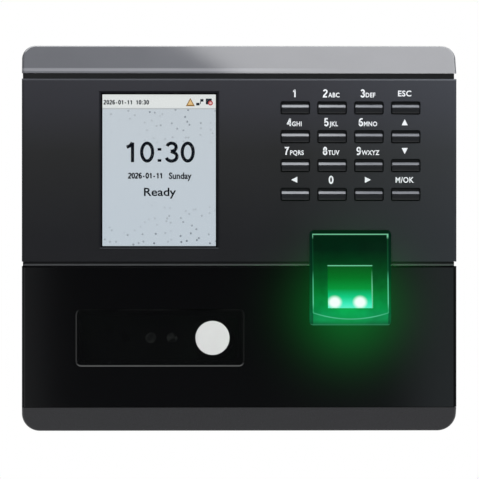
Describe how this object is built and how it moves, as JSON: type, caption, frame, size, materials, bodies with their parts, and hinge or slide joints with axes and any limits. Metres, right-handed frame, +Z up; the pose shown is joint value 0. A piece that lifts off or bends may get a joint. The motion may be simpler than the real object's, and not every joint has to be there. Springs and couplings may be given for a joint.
{
  "type": "fingerprint scanner terminal",
  "caption": "Wall-mounted access terminal with a sloped fingerprint reader, colour display, keypad and camera window, on a hooked steel back plate.",
  "frame": {"origin": "centre of the wall plate's rear face, on the wall plane at mid-height", "axes": "+Z up, +X to the right of a person facing the terminal, the front looks along -Y"},
  "size_m": [0.1676, 0.0322, 0.1488],
  "materials": {
    "grey_casing": "satin moulded ABS, mid grey",
    "matte_casing": "fine textured ABS, near black",
    "gloss_casing": "polished black acrylic",
    "bottom_casing": "fine textured ABS, near black",
    "frame_plastic": "moulded ABS, black",
    "rear_plastic": "textured ABS, black",
    "coated_steel": "black powder coat on sheet steel",
    "screw_steel": "zinc plated",
    "clear_window": "clear hard coated acrylic",
    "foam": "closed cell foam",
    "screen": "lit liquid crystal display",
    "shield_steel": "pressed tin plate",
    "silicone": "moulded silicone",
    "circuit_board": "glass epoxy with green solder mask",
    "bezel_plastic": "moulded black polycarbonate",
    "reader_glass": "polished optical glass, lit green from behind",
    "led": "clear epoxy package",
    "smoke_window": "dark tinted acrylic",
    "diffuser": "opal polycarbonate",
    "module_plastic": "black polyamide",
    "lens_glass": "coated lens glass",
    "infrared_lens": "dark epoxy lens",
    "chip_plastic": "moulded epoxy",
    "cell_steel": "polished nickel plated steel",
    "socket_plastic": "black polyamide",
    "terminal_plastic": "off white polyamide",
    "socket_steel": "plated steel shell",
    "speaker_plastic": "black polystyrene",
    "plunger_plastic": "natural acetal",
    "key_plastic": "satin black moulded key"
  },
  "bodies": {
    "housing": {"top_cap": "grey_casing", "upper_cover": "matte_casing", "lower_cover": "gloss_casing", "bottom_cap": "bottom_casing", "front_frame": "frame_plastic", "rear_cover": "rear_plastic", "wall_plate": "coated_steel", "security_screw": "screw_steel", "case_screws": "screw_steel", "display_window": "clear_window", "display_gasket": "foam", "lcd_panel": "screen", "lcd_frame": "shield_steel", "keypad_mat": "silicone", "keypad_board": "circuit_board", "sensor_bezel": "bezel_plastic", "sensor_prism": "reader_glass", "sensor_housing": "frame_plastic", "sensor_board": "circuit_board", "sensor_leds": "led", "camera_window": "smoke_window", "lamp_diffuser": "diffuser", "camera_board": "circuit_board", "camera_visible": "module_plastic", "camera_infrared": "module_plastic", "camera_lenses": "lens_glass", "infrared_leds": "infrared_lens", "lamp_leds": "led", "main_board": "circuit_board", "board_screws": "screw_steel", "board_chips": "chip_plastic", "clock_cell": "cell_steel", "network_socket": "socket_plastic", "terminal_connectors": "terminal_plastic", "power_jack": "socket_plastic", "usb_socket": "socket_steel", "speaker": "speaker_plastic", "tamper_switch": "socket_plastic"},
    "key_1": {"key_1": "key_plastic"},
    "key_2": {"key_2": "key_plastic"},
    "key_3": {"key_3": "key_plastic"},
    "key_esc": {"key_esc": "key_plastic"},
    "key_4": {"key_4": "key_plastic"},
    "key_5": {"key_5": "key_plastic"},
    "key_6": {"key_6": "key_plastic"},
    "key_up": {"key_up": "key_plastic"},
    "key_7": {"key_7": "key_plastic"},
    "key_8": {"key_8": "key_plastic"},
    "key_9": {"key_9": "key_plastic"},
    "key_down": {"key_down": "key_plastic"},
    "key_left": {"key_left": "key_plastic"},
    "key_0": {"key_0": "key_plastic"},
    "key_right": {"key_right": "key_plastic"},
    "key_ok": {"key_ok": "key_plastic"},
    "tamper_plunger": {"tamper_plunger": "plunger_plastic"}
  },
  "joints": [
    {"name": "key_1_press", "type": "slide", "parent": "housing", "child": "key_1", "axis": [0, 1, 0], "range_m": [0, 0.001], "stiffness_N_per_m": 250},
    {"name": "key_2_press", "type": "slide", "parent": "housing", "child": "key_2", "axis": [0, 1, 0], "range_m": [0, 0.001], "stiffness_N_per_m": 250},
    {"name": "key_3_press", "type": "slide", "parent": "housing", "child": "key_3", "axis": [0, 1, 0], "range_m": [0, 0.001], "stiffness_N_per_m": 250},
    {"name": "key_esc_press", "type": "slide", "parent": "housing", "child": "key_esc", "axis": [0, 1, 0], "range_m": [0, 0.001], "stiffness_N_per_m": 250},
    {"name": "key_4_press", "type": "slide", "parent": "housing", "child": "key_4", "axis": [0, 1, 0], "range_m": [0, 0.001], "stiffness_N_per_m": 250},
    {"name": "key_5_press", "type": "slide", "parent": "housing", "child": "key_5", "axis": [0, 1, 0], "range_m": [0, 0.001], "stiffness_N_per_m": 250},
    {"name": "key_6_press", "type": "slide", "parent": "housing", "child": "key_6", "axis": [0, 1, 0], "range_m": [0, 0.001], "stiffness_N_per_m": 250},
    {"name": "key_up_press", "type": "slide", "parent": "housing", "child": "key_up", "axis": [0, 1, 0], "range_m": [0, 0.001], "stiffness_N_per_m": 250},
    {"name": "key_7_press", "type": "slide", "parent": "housing", "child": "key_7", "axis": [0, 1, 0], "range_m": [0, 0.001], "stiffness_N_per_m": 250},
    {"name": "key_8_press", "type": "slide", "parent": "housing", "child": "key_8", "axis": [0, 1, 0], "range_m": [0, 0.001], "stiffness_N_per_m": 250},
    {"name": "key_9_press", "type": "slide", "parent": "housing", "child": "key_9", "axis": [0, 1, 0], "range_m": [0, 0.001], "stiffness_N_per_m": 250},
    {"name": "key_down_press", "type": "slide", "parent": "housing", "child": "key_down", "axis": [0, 1, 0], "range_m": [0, 0.001], "stiffness_N_per_m": 250},
    {"name": "key_left_press", "type": "slide", "parent": "housing", "child": "key_left", "axis": [0, 1, 0], "range_m": [0, 0.001], "stiffness_N_per_m": 250},
    {"name": "key_0_press", "type": "slide", "parent": "housing", "child": "key_0", "axis": [0, 1, 0], "range_m": [0, 0.001], "stiffness_N_per_m": 250},
    {"name": "key_right_press", "type": "slide", "parent": "housing", "child": "key_right", "axis": [0, 1, 0], "range_m": [0, 0.001], "stiffness_N_per_m": 250},
    {"name": "key_ok_press", "type": "slide", "parent": "housing", "child": "key_ok", "axis": [0, 1, 0], "range_m": [0, 0.001], "stiffness_N_per_m": 250},
    {"name": "tamper_plunger_press", "type": "slide", "parent": "housing", "child": "tamper_plunger", "axis": [0, -1, 0], "range_m": [0, 0.0006], "stiffness_N_per_m": 250}
  ]
}
